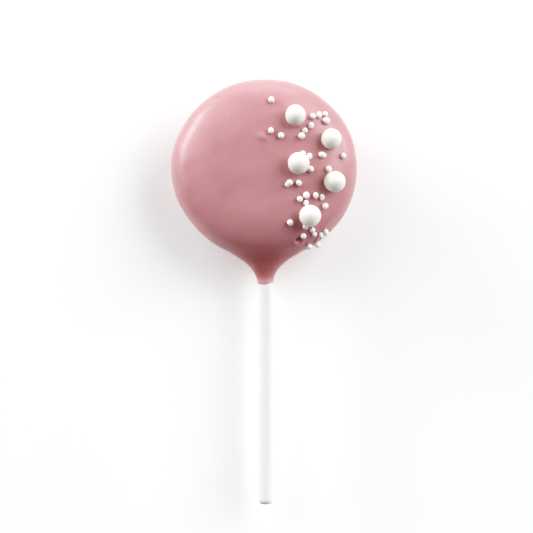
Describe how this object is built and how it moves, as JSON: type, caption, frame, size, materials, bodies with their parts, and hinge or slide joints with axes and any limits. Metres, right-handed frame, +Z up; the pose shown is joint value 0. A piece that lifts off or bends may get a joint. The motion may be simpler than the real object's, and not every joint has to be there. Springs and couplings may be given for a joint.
{
  "type": "cake pop",
  "caption": "Flat round cake pop in glossy pink glaze on a straight paper stick, with white sugar pearls down one side, lying on its back.",
  "frame": {"origin": "middle of the small flat spot under the head, on the surface that the cake pop lies on", "axes": "+Z up through the face with the pearls, +Y from the stick towards the top of the head, +X towards the side with the pearls"},
  "size_m": [0.0482, 0.1104, 0.0259],
  "materials": {
    "glaze": "dusty pink confectionery coating, satin gloss, smooth with faint ripples",
    "paper": "rolled white paper, matt with a slight sheen",
    "sugar": "white sugar shell, satin"
  },
  "bodies": {
    "root": {"glazed_head": "glaze", "stick": "paper", "pearl_1": "sugar", "pearl_2": "sugar", "pearl_3": "sugar", "pearl_4": "sugar", "pearl_5": "sugar"}
  },
  "joints": []
}
